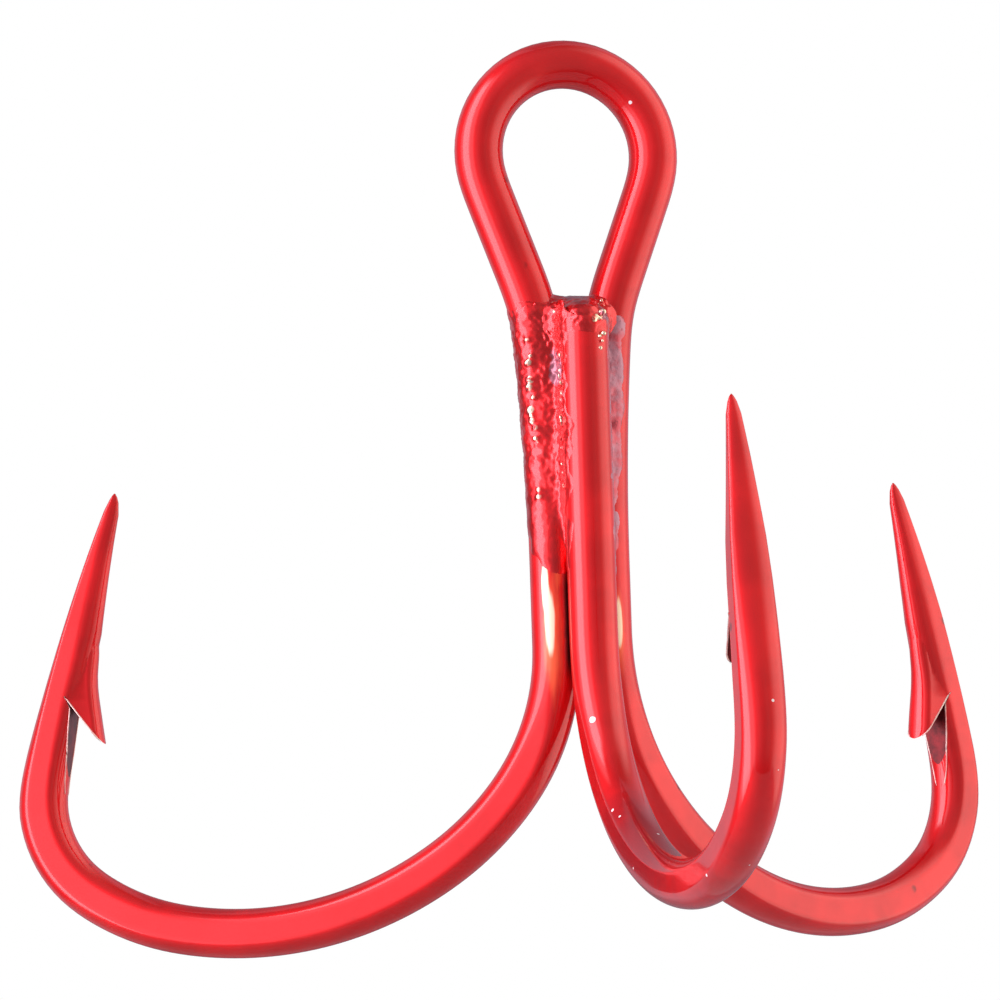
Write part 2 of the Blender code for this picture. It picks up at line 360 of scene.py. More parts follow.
def half_gap(z):
    """How far a shank wire's centre stands from the plane X = 0 at a height."""
    if z >= SHANK_STATIONS[0][2]:
        return SHANK_STATIONS[0][1]
    for high, low in zip(SHANK_STATIONS, SHANK_STATIONS[1:]):
        if z >= low[2]:
            return high[1] + (low[1] - high[1]) * (high[2] - z) / (high[2] - low[2])
    return FOOT


LEFT = Setting(Vector((-FOOT, 0, 0)), -118.9, -0.4, -0.31 * MM, 0.0, 0.0)
RIGHT = Setting(Vector((FOOT, 0, 0)), 121.7, 0.5, 0.25 * MM, 0.0, 0.65 * MM)
SINGLE = Setting(Vector((0, -SINGLE_FORWARD, 0)), 0.0, -0.5, 0.22 * MM, 5.3, 0.0)


def leg(setting):
    arcs = []
    for i, (radius, degrees) in enumerate(BENDS):
        turn = math.radians(degrees - (setting.slack if i == TIGHT_BEND else 0.0))
        arcs.append((radius * turn, turn))
    arcs[0] = (arcs[0][0], arcs[0][1] - setting.lean)
    return chain(0.0, BEND_TOP + setting.height, setting.lean, arcs, LONGEST_STEP)


def station_at(stations, run):
    for low, high in zip(stations, stations[1:]):
        if run <= high[0]:
            t = (run - low[0]) / (high[0] - low[0])
            return tuple(a + (b - a) * t for a, b in zip(low, high))
    return stations[-1]


def axes_at(azimuth, lean):
    """Out from the shank, towards the gape, and across the plane of the bend."""
    out = Vector((math.sin(azimuth), -math.cos(azimuth), 0.0))
    gape = out * math.cos(lean) + Vector((0.0, 0.0, math.sin(lean)))
    return out, gape, Vector((out.y, -out.x, 0.0))


def set_back(setting, distance):
    """A distance from the point on the pattern, moved back for a leg whose barb sits further down."""
    return distance + setting.barb * smoothstep((distance - BARB_ROOT) / BARB_ROOT_RUN)


def on_leg(setting, stations, distance, reach, aside=0.0):
    """A place given by its distance from the point, its reach into the gape and to the side."""
    _, u, z, lean = station_at(stations, stations[-1][0] - distance)
    out, gape, across = axes_at(setting.azimuth, lean)
    return setting.foot + out * u + Vector((0, 0, z)) + gape * reach + across * aside


class Spine:
    """Points along a wire with everything its section needs there."""

    FLOATS = ("outside", "inside", "width", "thick", "edge")
    ARROWS = ("gape", "across", "place")

    def __init__(self):
        self.rows = []

    def add(self, place, gape, across, *sizes):
        row = {"place": place, "gape": gape, "across": across}
        row.update(zip(self.FLOATS, sizes))
        self.rows.append(row)

    def round(self, place, gape, across, radius=WIRE_RADIUS):
        self.add(place, gape, across, radius, radius, radius, radius + RIM, 2 * radius)

    def mesh(self, name):
        data = bpy.data.meshes.new(name)
        edges = [(i, i + 1) for i in range(len(self.rows) - 1)]
        data.from_pydata([row["place"] for row in self.rows], edges, [])
        for key in self.FLOATS:
            layer = data.attributes.new(key, "FLOAT", "POINT")
            layer.data.foreach_set("value", [row[key] for row in self.rows])
        for key in self.ARROWS:
            layer = data.attributes.new(key, "FLOAT_VECTOR", "POINT")
            layer.data.foreach_set("vector", [v for row in self.rows for v in row[key]])
        return data


def leg_spine(setting, flip=1.0):
    spine = Spine()
    stations = leg(setting)
    total = stations[-1][0]
    spear = [(set_back(setting, row[0]),) + row[1:] for row in SPEAR]
    marks = [total - row[0] for row in spear[1:-1]] + [total - d for d in TIP_STATIONS]
    stations = sorted(stations + [station_at(stations, run) for run in marks])
    for run, u, z, lean in stations:
        out, gape, across = axes_at(setting.azimuth, lean)
        forged = smoothstep(run / FORGING_RUN)
        reach = WIRE_RADIUS + (FORGED_HALF_WIDTH - WIRE_RADIUS) * forged
        thick = (WIRE_RADIUS + RIM) * (1 - forged) + FORGED_HALF_THICK * forged
        outside = inside = width = reach
        edge = 2 * WIRE_RADIUS
        if total - run < spear[-1][0]:
            outside, inside, width, edge = between(spear, total - run)
            thick = min(thick, width * SPEAR_THICKNESS[0] + SPEAR_THICKNESS[1])
        place = setting.foot + out * u + Vector((0, 0, z))
        spine.add(place, gape, across * flip, outside, inside, width, thick, edge)
    return spine


def double_spine():
    whole = Spine()
    halves = []
    for side, setting in ((-1, LEFT), (1, RIGHT)):
        half = Spine()
        stations = eye_and_shank(LONGEST_STEP)
        foot = stations[-1]
        top = BEND_TOP + setting.height
        for i in range(1, SHANK_STEPS + 1):
            stations.append((0, foot[1], foot[2] + (top - foot[2]) * i / SHANK_STEPS, 0.0))
        for _, u, z, lean in stations:
            turned = smoothstep((TURN_TOP - z) / (TURN_TOP - BEND_TOP))
            azimuth = side * (math.pi / 2 + (abs(setting.azimuth) - math.pi / 2) * turned)
            _, gape, across = axes_at(azimuth, lean)
            half.round(Vector((side * u, 0, z)), gape, across * side)
        half.rows += leg_spine(setting, side).rows[1:]
        halves.append(half.rows)
    whole.rows = list(reversed(halves[0])) + halves[1][1:]
    return whole


def single_spine():
    spine = Spine()
    base = SINGLE.foot
    _, gape, across = axes_at(0.0, 0.0)
    low = BEND_TOP + SINGLE.height
    for depth, share in DOME:
        z = SINGLE_TOP - depth
        spine.round(base + Vector((0, 0, z)), gape, across, WIRE_RADIUS * share)
    start = SINGLE_TOP - DOME[-1][0]
    for i in range(1, SINGLE_STEPS):
        z = start + (low - start) * i / SINGLE_STEPS
        spine.round(base + Vector((0, 0, z)), gape, across)
    spine.rows += leg_spine(SINGLE).rows
    return spine


# ---------------- wire sweep


def wire_tree():
    """Sweeps a section along a spine: round where it is thin enough, flattened where it is not."""
    inputs = (("Spine", "Geometry"), ("Sides", "Int"), ("Rim", "Float"), ("Finish", "Material"))
    graph, (spine, sides, rim, finish) = new_tree("forged_wire", inputs, "Wire")

    def named(name, kind="FLOAT"):
        return graph.make("GeometryNodeInputNamedAttribute", {"data_type": kind}, {"Name": name})

    path = graph.make("GeometryNodeMeshToCurve", {}, {"Mesh": spine})
    circle = graph.make("GeometryNodeCurvePrimitiveCircle", {}, {"Resolution": sides, "Radius": 0.001})
    factor = graph.make("GeometryNodeSplineParameter", {}, {}, "Factor")
    marked = store(graph, circle, "turn", factor)
    swept = graph.make(
        "GeometryNodeCurveToMesh", {}, {"Curve": path, "Profile Curve": marked, "Fill Caps": True}
    )
    outside, inside = named("outside"), named("inside")
    angle = named("turn") * (2 * math.pi)
    swing = angle.of("COSINE")
    reach = ((inside - outside) * swing.of("ABSOLUTE") + (inside + outside) * swing) * 0.5
    width = named("width") * angle.of("SINE").of("ABSOLUTE")
    held = width.of("SMOOTH_MIN", named("thick"), rim)
    ground = named("edge") + (inside - reach) * SPEAR_SPREAD
    held = held.of("SMOOTH_MIN", ground, rim * 0.5) * angle.of("SINE").of("SIGN")
    place = named("place", "FLOAT_VECTOR")
    place = place + named("gape", "FLOAT_VECTOR") * reach
    place = place + named("across", "FLOAT_VECTOR") * held
    moved = graph.make("GeometryNodeSetPosition", {}, {"Geometry": swept, "Position": place})
    return close_tree(graph, moved, finish)


def new_object(name, data):
    made = bpy.data.objects.new(name, data)
    bpy.context.scene.collection.objects.link(made)
    return made


def run_tree(name, data, tree, inputs):
    """The plain mesh object that a tree makes from a mesh."""
    source = new_object(name + "_source", data)
    change = source.modifiers.new("tree", "NODES")
    change.node_group = tree
    for item in tree.interface.items_tree:
        if item.in_out == "INPUT" and item.name in inputs:
            change[item.identifier] = inputs[item.name]
    source.update_tag()
    graph = bpy.context.evaluated_depsgraph_get()
    mesh = bpy.data.meshes.new_from_object(source.evaluated_get(graph))
    mesh.name = name
    bpy.data.objects.remove(source, do_unlink=True)
    return new_object(name, mesh)


# ---------------- barbs


def loose_object(name, mesh, finish=None):
    bmesh.ops.recalc_face_normals(mesh, faces=mesh.faces)
    data = bpy.data.meshes.new(name)
    mesh.to_mesh(data)
    mesh.free()
    if finish:
        data.materials.append(finish)
    return new_object(name, data)


def loft(rings, smooth=True):
    mesh = bmesh.new()
    rows = [[mesh.verts.new(point) for point in ring] for ring in rings]
    count = len(rows[0])
    for low, high in zip(rows, rows[1:]):
        for i in range(count):
            j = (i + 1) % count
            mesh.faces.new((low[i], low[j], high[j], high[i])).smooth = smooth
    for end in (rows[0], rows[-1]):
        bmesh.ops.triangulate(mesh, faces=[mesh.faces.new(end)])
    return mesh


def notch_cutter(name, setting, finish):
    stations = leg(setting)
    sides = [
        [on_leg(setting, stations, distance + setting.barb, reach, aside) for distance, reach in NOTCH]
        for aside in (-CUTTER_HALF_WIDTH, CUTTER_HALF_WIDTH)
    ]
    return loose_object(name, loft(sides, smooth=False), finish)


def underside(distance):
    """Reach of the barb's cut underside at a distance from the point."""
    (start, low), (stop, high) = NOTCH[0], NOTCH[1]
    return low + (distance - start) / (stop - start) * (high - low)


def barb_half_width(top, width, reach):
    """Half the barb's width: a rounded crown above flanks that spread towards the wire."""
    drop = top - reach
    if drop > BARB_CROWN:
        return width + (drop - BARB_CROWN) * BARB_SPREAD
    return width * math.sqrt(max(1.0 - (1.0 - drop / BARB_CROWN) ** 2, 0.0))


def barb_object(name, setting, finish):
    stations = leg(setting)
    first, last = BARB[0][0], BARB[-2][0]
    distances = [first + (last - first) * i / BARB_STEPS for i in range(BARB_STEPS + 1)]
    distances.append(BARB[-1][0])
    rings = []
    for distance in distances:
        top, width = between(BARB, distance)
        base = max(BARB_BASE, underside(distance) - CUTTER_SPARE)
        crown = min(BARB_CROWN, (top - base) * 0.9)
        turns = [k * math.pi / 2 / CROWN_STEPS for k in range(1, CROWN_STEPS + 1)]
        drops = [crown * (1 - math.cos(turn)) for turn in turns] + [top - base]
        flank = [(top - drop, barb_half_width(top, width, top - drop)) for drop in drops]
        sides = [(reach, -aside) for reach, aside in reversed(flank)]
        back = set_back(setting, distance)
        ring = [(top, 0.0)] + flank + sides
        rings.append([on_leg(setting, stations, back, reach, aside) for reach, aside in ring])
    return loose_object(name, loft(rings), finish)


def change_by(wire, operation, other):
    """Joins another solid to a wire, or cuts it out, and removes it."""
    change = wire.modifiers.new(operation, "BOOLEAN")
    change.operation = operation
    change.solver = "EXACT"
    change.object = other
    graph = bpy.context.evaluated_depsgraph_get()
    mesh = bpy.data.meshes.new_from_object(wire.evaluated_get(graph))
    wire.modifiers.clear()
    old = wire.data
    wire.data = mesh
    bpy.data.meshes.remove(old)
    bpy.data.objects.remove(other, do_unlink=True)


def make_barb(wire, name, setting, lacquer, cut):
    """Raises the barb on a leg and cuts the notch behind it."""
    change_by(wire, "UNION", barb_object(name + "_barb", setting, lacquer))
    if cut.name not in wire.data.materials:
        wire.data.materials.append(cut)
    change_by(wire, "DIFFERENCE", notch_cutter(name + "_notch", setting, cut))


def half_width_at(distance, reach, barb):
    """Half the thickness of the wire or its barb at a place on the pattern."""
    _, inside, width, _ = between(SPEAR, distance)
    width *= math.sqrt(max(1.0 - (reach / inside) ** 2, 0.0))
    held = soft_least(width, FORGED_HALF_THICK, RIM)
    if barb:
        top, width = between(BARB, distance)
        held = max(held, barb_half_width(top, width, reach))
    return held


def burr(mesh, path, radius, index):
    """A closed thread of bright metal along a path, joined to a mesh."""
    rings = []
    for i, point in enumerate(path):
        before, after = path[max(i - 1, 0)], path[min(i + 1, len(path) - 1)]
        way = (after - before).normalized()
        aside = way.orthogonal().normalized()
        other = way.cross(aside)
        size = radius * (BURR_END if i in (0, len(path) - 1) else 1.0)
        ring = []
        for k in range(BURR_SIDES):
            turn = k * 2 * math.pi / BURR_SIDES
            off = aside * math.cos(turn) + other * math.sin(turn)
            ring.append(mesh.verts.new(point + off * size))
        if rings:
            last = rings[-1][0].co
            start = min(range(BURR_SIDES), key=lambda k: (ring[k].co - last).length)
            ring = ring[start:] + ring[:start]
        rings.append(ring)
    faces = []
    for low, high in zip(rings, rings[1:]):
        for k in range(BURR_SIDES):
            j = (k + 1) % BURR_SIDES
            faces.append(mesh.faces.new((low[k], low[j], high[j], high[k])))
    faces += [mesh.faces.new(rings[0]), mesh.faces.new(rings[-1])]
    for face in faces:
        face.smooth = True
        face.material_index = index
    bmesh.ops.recalc_face_normals(mesh, faces=faces)


def bright_notch_edges(wire, settings, edge_finish):
    """Threads of bright metal along the knife's edges, where it raised a burr."""
    wire.data.materials.append(edge_finish)
    index = len(wire.data.materials) - 1
    mesh = bmesh.new()
    mesh.from_mesh(wire.data)
    for edge in mesh.edges:
        if len(edge.link_faces) == 2:
            first, second = edge.link_faces
            cut = first.material_index != second.material_index
            edge.smooth = not (cut or edge.calc_face_angle(0.0) > SHARP_EDGE)
    apex, *_, low_end, low_start = NOTCH
    lines = ((BARB_TIP, apex, True), (low_start, low_end, False), (low_end, SCOOP_END, False))
    for setting in settings:
        stations = leg(setting)
        for side in (-1, 1):
            path = []
            for first, last, barb in lines:
                for i in range(BURR_STEPS + 1):
                    t = i / BURR_STEPS
                    distance = first[0] + (last[0] - first[0]) * t
                    reach = first[1] + (last[1] - first[1]) * t
                    aside = side * (half_width_at(distance, reach, barb) - BURR_SUNK)
                    path.append(on_leg(setting, stations, distance + setting.barb, reach, aside))
            burr(mesh, path, BURR_RADIUS, index)
    mesh.to_mesh(wire.data)
    mesh.free()


# ---------------- braze


MARCH_STEPS = 20
HALVINGS = 11
SKIN_SUNK = 0.06 * MM  # how deep a skin lies inside the wires past its edges
SEAM_DEPTH = 0.25 * MM  # how far behind the wires' centres the rays of a seam start
SEAM_FAR, SKIN_FAR = 3.4 * MM, 3.6 * MM  # how far the rays look for the fillet and for its skin
SEAM_FADE = (0.9 * MM, 5.0 * MM)  # where a seam's fillet starts above its foot, and over what it grows


def surface_along(field, start, way, far, level):
    """How far along a ray the field rises to a level."""
    low, high = 0.0, far
    step = far / MARCH_STEPS
    t = step
    while t <= far:
        if field(start + way * t) > level:
            high = t
            low = t - step
            break
        t += step
    for _ in range(HALVINGS):
        middle = (low + high) / 2
        if field(start + way * middle) > level:
            high = middle
        else:
            low = middle
    return (low + high) / 2


def waves(place, size, seed):
    """Smooth ups and downs from about -1 to 1."""
    return noise.noise(place / (size * MM) + Vector((seed, 2.7 * seed, -seed))) * 1.6


def ridges(place, size, seed):
    """Narrow ridges round shallow pits, from 0 to 1."""
    return (1.0 - min(abs(waves(place, size, seed)), 1.0)) ** 2


def beads_on(place, beads):
    """Height of the beads at a place, from 0 to 1."""
    height = 0.0
    for centre, size in beads:
        far = (place - centre).length / size
        if far < 1.6:
            height = max(height, math.exp(-far * far * 2.0))
    return height


def bead_rows(*rows):
    """Beads strung between two places, each a little out of line.

    A row gives its count, first and last place, bead size and stray in millimetres, and a seed.
    """
    made = []
    for count, first, last, size, stray, seed in rows:
        rng = random.Random(seed)
        first, last = Vector(first), Vector(last)
        for i in range(count):
            centre = first + (last - first) * (i / (count - 1))
            x, y, z = (rng.uniform(-far, far) for far in (stray, stray, 0.1))
            centre = centre + Vector((x, y, z))
            made.append((centre * MM, size * rng.uniform(0.6, 1.25) * MM))
    return made


LEFT_BEADS = bead_rows(
    (15, (-2.25, -1.0, -8.6), (-2.22, -0.90, -12.4), 0.20, 0.15, 3),
    (10, (-2.1, -1.05, -12.7), (-1.95, -1.05, -15.8), 0.19, 0.13, 5),
    (11, (-1.18, -1.75, -9.0), (-1.15, -1.72, -12.6), 0.20, 0.07, 7),
    (5, (-1.1, -1.7, -13.2), (-1.1, -1.7, -15.4), 0.12, 0.05, 9),
    (5, (-2.0, -1.25, -8.3), (-1.55, -1.45, -7.75), 0.22, 0.03, 11),
    (3, (-1.5, -1.45, -7.9), (-1.5, -1.5, -8.5), 0.15, 0.03, 12),
)
TOP_BEADS = bead_rows(
    (5, (0.25, -2.95, -8.0), (0.75, -2.65, -7.7), 0.22, 0.08, 21),
    (4, (0.55, -2.8, -8.5), (0.45, -2.9, -9.3), 0.17, 0.10, 22),
    (4, (1.05, -1.2, -6.9), (1.35, -1.1, -7.7), 0.18, 0.08, 23),
    (5, (-1.2, -1.1, -7.0), (-1.0, -1.7, -8.0), 0.16, 0.10, 24),
)


def left_cover(place, t, z):
    """A rough skin over the left wire that narrows to a tongue in the valley."""
    low, top = -20.3 * MM, -6.2 * MM
    share = (z - low) / (top - low)
    stray = waves(place, 0.8, 41.0) * 0.05
    start = 0.02 + 0.46 * (1 - smoothstep(share * 2.6)) + stray
    stop = 0.90 + stray
    mask = smoothstep((t - start) / 0.12) * smoothstep((stop - t) / 0.12)
    mask *= smoothstep((z - low) / (1.6 * MM) + stray * 4)
    mask *= smoothstep((top - z) / (1.3 * MM) + stray * 3)
    rough = 0.25 + 0.75 * smoothstep((share - 0.15) * 2.4)
    bead = beads_on(place, LEFT_BEADS)
    height = 0.03 + rough * (0.028 * ridges(place, 0.34, 3.0) + 0.018 * waves(place, 0.20, 8.0))
    height += 0.03 * waves(place, 0.7, 15.0) * rough + 0.16 * bead
    return height * mask * MM - SKIN_SUNK * (1 - mask), bead * mask


# Heights of the pits in the right strip, in millimetres
RIGHT_PITS = (-9.9, -10.8, -12.6, -13.9, -15.6, -16.4, -18.0, -19.5)


def right_cover(place, t, z):
    """A smoother strip with a row of pits along it."""
    low, top = -20.6 * MM, -7.0 * MM
    stray = waves(place, 0.9, 51.0) * 0.05
    start = 0.20 + 0.14 * (1 - smoothstep((z - low) / (top - low) * 1.4)) - stray * 0.6
    mask = smoothstep((t - start) / 0.10) * smoothstep((0.86 + stray - t) / 0.16)
    mask *= smoothstep((z - low) / (1.6 * MM)) * smoothstep((top - z) / (0.8 * MM))
    height = 0.02 + 0.02 * waves(place, 0.5, 13.0) + 0.02 * ridges(place, 0.22, 9.0)
    for i, level in enumerate(RIGHT_PITS):
        far = abs(z / MM - level) / 0.11
        aside = (t - 0.50 - 0.05 * math.sin(2.3 * i)) / 0.06
        height -= 0.10 * math.exp(-far * far - aside * aside)
    return height * mask * MM - SKIN_SUNK * (1 - mask), 0.0


def rear_cover(place, t, z):
    """A plain, slightly ridged strip between the shank wires."""
    low, top = -20.1 * MM, -7.2 * MM
    stray = waves(place, 0.9, 61.0) * 0.06
    mask = smoothstep((t - 0.18 + stray) / 0.12) * smoothstep((0.82 + stray - t) / 0.12)
    mask *= smoothstep((z - low) / (1.8 * MM)) * smoothstep((top - z) / (0.8 * MM))
    height = 0.03 + 0.03 * ridges(place, 0.36, 21.0) + 0.02 * waves(place, 0.3, 2.0)
    return height * mask * MM - SKIN_SUNK * (1 - mask), 0.0


def skin_object(name, rows, finish):
    """A closed skin from rows of (place, bead), with the bead heights kept for its finish."""
    made = loose_object(name, loft([[place for place, _ in row] for row in rows]), finish)
    layer = made.data.attributes.new("bead", "FLOAT", "POINT")
    layer.data.foreach_set("value", [bead for row in rows for _, bead in row])
    return made


def seam_object(name, first, second, outward, heights, spread, cover, fillet, finish, rows, columns):
    """Braze in the valley between two wires that run down the shank.

    first and second give the wires' centres at a height; outward picks the open side;
    spread is how far round, in degrees, the skin may reach over each wire; fillet is in millimetres.
    """
    top, bottom = heights
    rings = []
    for i in range(rows + 1):
        z = top + (bottom - top) * i / rows
        a, b = first(z), second(z)
        along = (b - a).normalized()
        away = Vector((along.y, -along.x)) * outward
        middle = (a + b) / 2 - away * SEAM_DEPTH
        k = max(fillet * smoothstep((z - bottom - SEAM_FADE[0]) / SEAM_FADE[1]), 0.02) * MM

        def field(p, a=a, b=b, k=k):
            return soft_least((p - a).length - WIRE_RADIUS, (p - b).length - WIRE_RADIUS, k)

        ring = []
        for j in range(columns + 1):
            t = j / columns
            turn = math.radians(-spread[0] + (spread[0] + spread[1]) * t)
            way = away * math.cos(turn) + along * math.sin(turn)
            place = middle + way * surface_along(field, middle, way, SEAM_FAR, 0.0)
            skin, bead = cover(Vector((place.x, place.y, z)), t, z)
            place = middle + way * surface_along(field, middle, way, SKIN_FAR, skin)
            ring.append((Vector((place.x, place.y, z)), bead))
        ring.append((Vector((middle.x, middle.y, z)), 0.0))
        rings.append(ring)
    return skin_object(name, rings, finish)


def left_wire(z):
    return Vector((-half_gap(z), 0))


def right_wire(z):
    return Vector((half_gap(z), 0))


def single_wire(z):
    return Vector((0, -SINGLE_FORWARD))


# The pool in the throat: how it fills corners, its grain, and the block it is carved from
POOL_FILLET = 0.8 * MM
POOL_STEPS = 84
POOL_BOX = in_mm((-2.6, -3.7, -10.3), (2.6, 1.8, -5.8))


def saddle_tree():
    """The pool of braze in the throat as the skin of a solid given by distances.

    It is drawn up the eye's wires and over the single wire's end, and its edges sink into them.
    """
    inputs = (
        ("Geometry", "Geometry"), ("Wire Radius", "Float"), ("Fillet", "Float"),
        ("Steps", "Int"), ("Finish", "Material"),
    )
    graph, (_, radius, fillet, steps, finish) = new_tree("braze_pool", inputs, "Pool")
    place = graph.make("GeometryNodeInputPosition")
    x, y, z = graph.split(place)

    def size(*parts):
        total = parts[0] * parts[0]
        for part in parts[1:]:
            total = total + part * part
        return total.of("SQRT")

    def egg(centre, reach):
        far = graph.distance_in(place, *in_mm(centre), reach)
        return (far - MM) * min(reach)

    # the eye's wires run nearly straight here, so two heights give their spread
    high, low = -6.2 * MM, -8.6 * MM
    slope = (half_gap(high) - half_gap(low)) / (high - low)
    spread = (z - low) * slope + half_gap(low)
    lean = math.cos(math.atan(slope))
    left = size((x + spread) * lean, y) - radius
    right = size((x - spread) * lean, y) - radius
    level = z.of("MINIMUM", SINGLE_TOP - 0.8 * MM)
    single = size(x, y + SINGLE_FORWARD, z - level) - radius
    body = left.of("SMOOTH_MIN", right, fillet).of("SMOOTH_MIN", single, fillet)
    body = body.of("SMOOTH_MIN", egg((0.0, -0.50, -7.72), (1.35, 1.20, 1.05)), fillet * 1.8)

    nearest = None
    for centre, reach in TOP_BEADS:
        far = graph.length(place - tuple(centre)) - reach * 0.62
        nearest = far if nearest is None else nearest.of("MINIMUM", far)

    coarse = graph.noise(place, 1500.0, 2.0) * 2.0 - 1.0
    fine = graph.noise(place, 3600.0, 1.0) * 2.0 - 1.0
    ridge = (1.0 - coarse.of("ABSOLUTE") * 1.8).of("MAXIMUM", 0.0) ** 2.0
    ragged = coarse * (0.30 * MM)
    mask = (egg((0.0, -0.95, -7.75), (1.85, 2.75, 1.60)) + ragged).step(0.15 * MM, -0.40 * MM)
    skin = (0.01 + ridge * 0.05 + fine * 0.04) * mask - (1.0 - mask) * 0.12
    body = (body - skin * MM).of("SMOOTH_MIN", nearest, 0.10 * MM)
    body = body.of("MAXIMUM", egg((0.0, -0.95, -8.0), (2.4, 2.6, 2.1)))
    density = (0.5 - body / (0.4 * MM)).of("MINIMUM", 1.0).of("MAXIMUM", 0.0)

    block = graph.make("GeometryNodeVolumeCube", {}, {
        "Density": density, "Min": POOL_BOX[0], "Max": POOL_BOX[1],
        "Resolution X": steps, "Resolution Y": steps, "Resolution Z": steps,
    })
    skinned = graph.make("GeometryNodeVolumeToMesh", {}, {"Volume": block, "Threshold": 0.5})
    marked = store(graph, skinned, "bead", nearest.step(0.06 * MM, -0.02 * MM))
    return close_tree(graph, marked, finish)


def saddle_object(finish):
    inputs = {
        "Wire Radius": WIRE_RADIUS, "Fillet": POOL_FILLET, "Steps": POOL_STEPS, "Finish": finish,
    }
    return run_tree("braze_over_throat", bpy.data.meshes.new("pool_source"), saddle_tree(), inputs)


def make_braze(rough, strip):
    left = seam_object(
        "braze_left_skin", left_wire, single_wire, outward=1.0, heights=(-6.2 * MM, -20.5 * MM),
        spread=(118, 66), cover=left_cover, fillet=0.9, finish=rough, rows=225, columns=92,
    )
    right = seam_object(
        "braze_right_strip", right_wire, single_wire, outward=-1.0, heights=(-7.0 * MM, -20.7 * MM),
        spread=(70, 70), cover=right_cover, fillet=0.75, finish=strip, rows=200, columns=56,
    )
    rear = seam_object(
        "braze_rear_strip", left_wire, right_wire, outward=-1.0, heights=(-7.2 * MM, -20.4 * MM),
        spread=(70, 70), cover=rear_cover, fillet=1.5, finish=rough, rows=140, columns=52,
    )
    return left, right, rear, saddle_object(rough)


# ---------------- finishes


def new_material(name):
    """An empty finish, its graph and the place of a point on the object."""
    made = bpy.data.materials.new(name)
    made.use_nodes = True
    made.node_tree.nodes.clear()
    graph = Graph(made.node_tree)
    return made, graph, graph.make("ShaderNodeTexCoord", {}, {}, "Object")


def close_material(graph, values):
    """Ends a finish with a surface of these values."""
    surface = graph.make("ShaderNodeBsdfPrincipled", {}, values)
    out = graph.tree.nodes.new("ShaderNodeOutputMaterial")
    graph.put(out.inputs["Surface"], surface)


# Bare spots, and in the last row a painted glint on the eye: centre and size in millimetres
CHIPS_AND_EYE_GLINT = [
    ((x, y, z), (size, size, size)) for x, y, z, size in (
        (-0.71, -3.65, -26.09, 0.16),
        (-0.89, -6.97, -30.40, 0.09),
        (-0.78, -7.65, -30.72, 0.07),
        (0.26, -27.17, -27.34, 0.08),
        (0.56, -26.72, -30.23, 0.07),
        (-1.00, -20.89, -34.20, 0.09),
        (0.27, -9.88, -31.69, 0.07),
        (-1.00, -10.15, -33.17, 0.07),
        (0.28, -23.08, -33.98, 0.07),
        # painted glint: two tiny white dots on the eye
        (2.84, -0.97, 2.26, 0.10),
    )
]

# Where a darker red is painted over the single hook's bend as shade
BEND_SHADE = ((0.0, -9.3, -33.4), (2.2, 9.5, 5.2))

# Where the film was rubbed thin below the braze, laid over the highlight there, so the pale patches
# are partly painted highlight: centre and reach in millimetres
THIN_FILM_HIGHLIGHTS = (
    ((-1.92, -0.92, -20.0), (0.17, 0.60, 1.5)),
    ((-1.78, -1.00, -21.3), (0.26, 0.60, 1.6)),
    ((1.44, -1.08, -21.6), (0.20, 0.40, 1.3)),
)
# Painted highlights: orange streaks on the wires below the braze, centre and reach in millimetres
WARM_HIGHLIGHTS = (
    ((-1.72, -1.00, -22.0), (0.62, 0.80, 3.6)),
    ((-1.35, -1.35, -19.4), (0.30, 0.50, 0.8)),
    ((1.45, -1.05, -22.0), (0.36, 0.60, 2.4)),
)


def spot(graph, place, centre, reach, stray, core=0.75):
    """1 inside the core of an egg-shaped spot, 0 outside the spot."""
    far = graph.distance_in(place, *in_mm(centre, reach))
    return (far + stray).step(1.0, core)


def spots(graph, place, eggs, stray, core=0.75):
    total = 0.0
    for centre, reach in eggs:
        total = total + spot(graph, place, centre, reach, stray, core)
    return total.of("MINIMUM", 1.0)


def coated(graph, colour, rough, metal, bump, coat, coat_rough):
    """Ends a finish as a clear coat over tinted metal."""
    close_material(graph, {
        "Base Color": colour, "Roughness": rough, "Metallic": metal, "Normal": bump,
        "Coat Weight": coat, "Coat Roughness": coat_rough,
    })


def bumps(graph, height, strength, deep):
    values = {"Strength": strength, "Distance": deep * MM, "Height": height}
    return graph.make("ShaderNodeBump", {}, values)


def candy_red(graph, place):
    """The lacquer's red, deeper in broad clouds and small stains."""
    broad = graph.noise(place, 260.0, 3.0, 0.55)
    fine = graph.noise(place, 1500.0, 4.0, 0.6)
    red = graph.mix(broad.step(0.35, 0.65), (0.65, 0.009, 0.012, 1), (0.78, 0.012, 0.016, 1))
    return graph.mix(fine.step(0.60, 0.80) * 0.30, red, (0.55, 0.006, 0.010, 1))


def valley_painted_shade(graph, place):
    """1 in the narrow gaps where the wires of the shank meet, where painted shade darkens them."""
    x, y, z = graph.split(place)
    aside = x.of("ABSOLUTE") - half_gap(-18.0 * MM)
    forward = y + SINGLE_FORWARD
    to_side = (aside * aside + y * y).of("SQRT") - WIRE_RADIUS
    to_single = (x * x + forward * forward).of("SQRT") - WIRE_RADIUS
    gap = to_side.of("MAXIMUM", to_single)
    stray = (graph.noise(place, 1800.0, 3.0) - 0.5) * (0.10 * MM)
    ends = z.step(-24.5 * MM, -23.0 * MM) * z.step(-18.5 * MM, -20.0 * MM)
    return (gap + stray).step(0.36 * MM, 0.16 * MM) * ends


